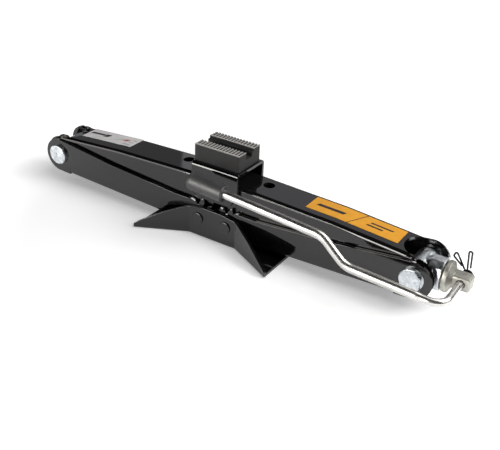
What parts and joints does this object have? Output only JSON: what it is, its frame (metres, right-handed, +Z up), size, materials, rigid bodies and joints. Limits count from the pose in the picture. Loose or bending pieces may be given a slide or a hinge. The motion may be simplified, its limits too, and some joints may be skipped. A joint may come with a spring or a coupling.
{
  "type": "scissor jack",
  "caption": "Folded screw-driven scissor jack: flared foot, four geared channel arms, saddle with a grooved rubber pad, and a stowed cranked handle in the screw's eye.",
  "frame": {"origin": "on the ground plane, under the middle of the flared foot, midway between its two pivots", "axes": "+X along the folded jack towards the crank eye, -Y to the side where the crank is stowed, +Z up through the saddle"},
  "size_m": [0.4328, 0.0959, 0.0862],
  "materials": {
    "black_paint": "gloss black enamel over pressed steel",
    "orange_label": "printed film, satin",
    "white_label": "printed film, satin",
    "pad_rubber": "moulded rubber, matte",
    "dark_fastener": "black oxide",
    "blue_zinc": "bluish bright zinc plate",
    "pale_zinc": "bright zinc plate",
    "bearing_steel": "ground and polished",
    "screw_steel": "rolled steel, greased",
    "olive_zinc": "yellowish zinc plate over a rough forging",
    "bright_zinc": "drawn bar, bright zinc plate",
    "spring_wire": "blackened spring wire",
    "grip_plastic": "moulded plastic, semi-matte"
  },
  "bodies": {
    "base": {"base_bracket": "black_paint", "base_pivot_pin_left": "black_paint", "base_pivot_pin_right": "black_paint"},
    "lower_right": {"lower_arm_right": "black_paint"},
    "lower_left": {"lower_arm_left": "black_paint"},
    "upper_right": {"upper_arm_right": "black_paint", "data_label": "orange_label"},
    "upper_left": {"upper_arm_left": "black_paint", "picture_label": "white_label"},
    "saddle": {"saddle_bracket": "black_paint", "saddle_pivot_pin_left": "black_paint", "saddle_pivot_pin_right": "black_paint", "saddle_pad": "pad_rubber", "pad_screw": "dark_fastener", "pad_nut": "dark_fastener"},
    "trunnion_right": {"trunnion_block": "blue_zinc", "bearing_race_fixed": "bearing_steel", "bearing_balls": "bearing_steel", "bearing_cover": "pale_zinc"},
    "trunnion_left": {"trunnion_nut": "blue_zinc"},
    "screw": {"lead_screw": "screw_steel", "screw_stop_ring": "screw_steel", "screw_head": "olive_zinc", "bearing_race_turning": "bearing_steel"},
    "crank": {"crank_rod": "bright_zinc", "crank_clip": "spring_wire", "grip_washer": "dark_fastener"},
    "grip": {"crank_grip": "grip_plastic", "grip_cap": "grip_plastic"}
  },
  "joints": [
    {"name": "jack_lift", "type": "hinge", "parent": "base", "child": "lower_right", "pos_m": [0.0146, 0, 0.0189], "axis": [0, -1, 0], "range_deg": [0, 52.5]},
    {"name": "lower_left_lift", "type": "hinge", "parent": "base", "child": "lower_left", "pos_m": [-0.0146, 0, 0.0189], "axis": [0, 1, 0], "range_deg": [0, 52.5]},
    {"name": "upper_right_fold", "type": "hinge", "parent": "lower_right", "child": "upper_right", "pos_m": [0.187, 0, 0.03175], "axis": [0, 1, 0], "range_deg": [0, 105]},
    {"name": "upper_left_fold", "type": "hinge", "parent": "lower_left", "child": "upper_left", "pos_m": [-0.187, 0, 0.03175], "axis": [0, -1, 0], "range_deg": [0, 105]},
    {"name": "saddle_level", "type": "hinge", "parent": "upper_right", "child": "saddle", "pos_m": [0.0146, 0, 0.0446], "axis": [0, -1, 0], "range_deg": [0, 52.5]},
    {"name": "trunnion_right_level", "type": "hinge", "parent": "lower_right", "child": "trunnion_right", "pos_m": [0.187, 0, 0.03175], "axis": [0, 1, 0], "range_deg": [0, 52.5]},
    {"name": "trunnion_left_level", "type": "hinge", "parent": "lower_left", "child": "trunnion_left", "pos_m": [-0.187, 0, 0.03175], "axis": [0, -1, 0], "range_deg": [0, 52.5]},
    {"name": "screw_turn", "type": "hinge", "parent": "trunnion_right", "child": "screw", "pos_m": [0.187, 0, 0.03175], "axis": [1, 0, 0], "range_deg": [-12, 15]},
    {"name": "crank_swing", "type": "hinge", "parent": "screw", "child": "crank", "pos_m": [0.2205, 0, 0.03175], "axis": [0, 1, 0], "range_deg": [-2, 180]},
    {"name": "grip_spin", "type": "hinge", "parent": "crank", "child": "grip", "pos_m": [0.024, -0.04, 0.0616], "axis": [-0.997, 0, 0.0768], "continuous": true}
  ],
  "couplings": [
    {"joint": "lower_left_lift", "follows": "jack_lift", "ratio": 1},
    {"joint": "upper_right_fold", "follows": "jack_lift", "ratio": 2},
    {"joint": "upper_left_fold", "follows": "jack_lift", "ratio": 2},
    {"joint": "saddle_level", "follows": "jack_lift", "ratio": 1},
    {"joint": "trunnion_right_level", "follows": "jack_lift", "ratio": 1},
    {"joint": "trunnion_left_level", "follows": "jack_lift", "ratio": 1}
  ]
}
